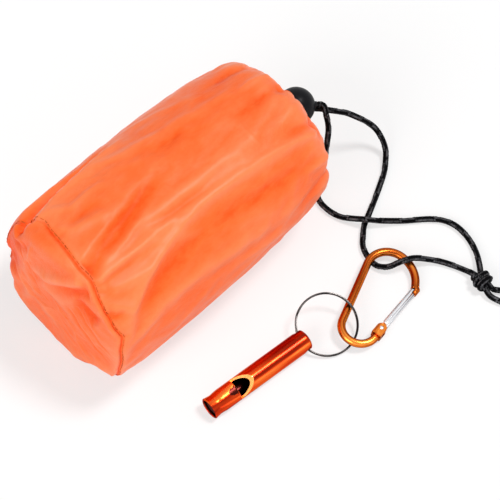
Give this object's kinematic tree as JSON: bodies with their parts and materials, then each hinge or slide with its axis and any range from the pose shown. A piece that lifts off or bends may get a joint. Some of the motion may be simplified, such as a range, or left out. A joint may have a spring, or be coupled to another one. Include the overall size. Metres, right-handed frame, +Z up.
{
  "type": "emergency sleeping bag in a drawstring stuff sack",
  "caption": "Rolled emergency sleeping bag in a cylindrical drawstring stuff sack, with a cord lock and a mini carabiner that carries a split ring and a tube whistle on its drawcord.",
  "frame": {"origin": "on the floor under the middle of the sack as it lies on its side", "axes": "+X along the sack from its base to its gathered mouth, +Z up from the floor; the free cord and what it carries lie on the -Y side"},
  "size_m": [0.1604, 0.1555, 0.0728],
  "materials": {
    "orange_nylon": "coated ripstop-like nylon, smooth with a soft sheen",
    "orange_thread": "twisted polyester thread",
    "orange_film": "thin aluminised polyethylene film",
    "black_cord": "round braid",
    "black_plastic": "satin moulded plastic",
    "button_plastic": "satin moulded plastic",
    "spring_steel": "drawn wire",
    "orange_anodised": "orange anodised, glossy",
    "bare_aluminium": "polished",
    "nickel": "nickel plated wire, bright",
    "red_anodised": "red-orange anodised, glossy",
    "plug_plastic": "moulded plastic"
  },
  "bodies": {
    "sack": {"sack_side_panel": "orange_nylon", "sack_base_panel": "orange_nylon", "base_seam_thread": "orange_thread", "side_seam_thread": "orange_thread", "mouth_hem": "orange_nylon", "sleeping_bag_roll": "orange_film", "drawcord_channel_loop": "black_cord", "drawcord_strand_a": "black_cord", "drawcord_strand_b": "black_cord", "drawcord_knot": "black_cord", "drawcord_tail_a": "black_cord", "drawcord_tail_b": "black_cord"},
    "cord_lock": {"lock_body": "black_plastic", "lock_spring": "spring_steel"},
    "lock_button": {"lock_plunger": "button_plastic"},
    "carabiner": {"carabiner_frame": "orange_anodised", "gate_pivot_pin": "spring_steel"},
    "gate": {"carabiner_gate": "bare_aluminium", "gate_spring": "spring_steel"},
    "ring": {"split_ring": "nickel"},
    "whistle": {"whistle_tube": "red_anodised", "whistle_mouth_plug": "plug_plastic"}
  },
  "joints": [
    {"name": "cord_lock_slide", "type": "slide", "parent": "sack", "child": "cord_lock", "axis": [0.7916, -0.5319, -0.3007], "range_m": [0, 0.008], "deforming": ["drawcord_strand_a", "drawcord_strand_b"]},
    {"name": "lock_button_press", "type": "slide", "parent": "cord_lock", "child": "lock_button", "axis": [0.2496, -0.1677, 0.9537], "range_m": [0, 0.0022], "stiffness_N_per_m": 600, "springref_m": -0.001, "deforming": ["lock_spring"]},
    {"name": "carabiner_lift", "type": "hinge", "parent": "sack", "child": "carabiner", "pos_m": [0.05989, -0.06107, 0.00373], "axis": [-0.7143, 0.6877, 0.1295], "range_deg": [0, 45], "deforming": ["drawcord_strand_a"]},
    {"name": "gate_pivot", "type": "hinge", "parent": "carabiner", "child": "gate", "pos_m": [0.03463, -0.08177, 0.00331], "axis": [0.0738, -0.11, 0.9912], "range_deg": [0, 28], "stiffness_Nm_per_rad": 0.002, "springref_deg": -17.19, "deforming": ["gate_spring"]},
    {"name": "ring_lift", "type": "hinge", "parent": "carabiner", "child": "ring", "pos_m": [0.02841, -0.07148, 0.00346], "axis": [0.6584, 0.7234, 0.2079], "range_deg": [0, 45]},
    {"name": "whistle_lift", "type": "hinge", "parent": "ring", "child": "whistle", "pos_m": [0.0082, -0.06433, 0.00455], "axis": [0.0791, 0.9225, 0.3778], "range_deg": [0, 75]}
  ]
}
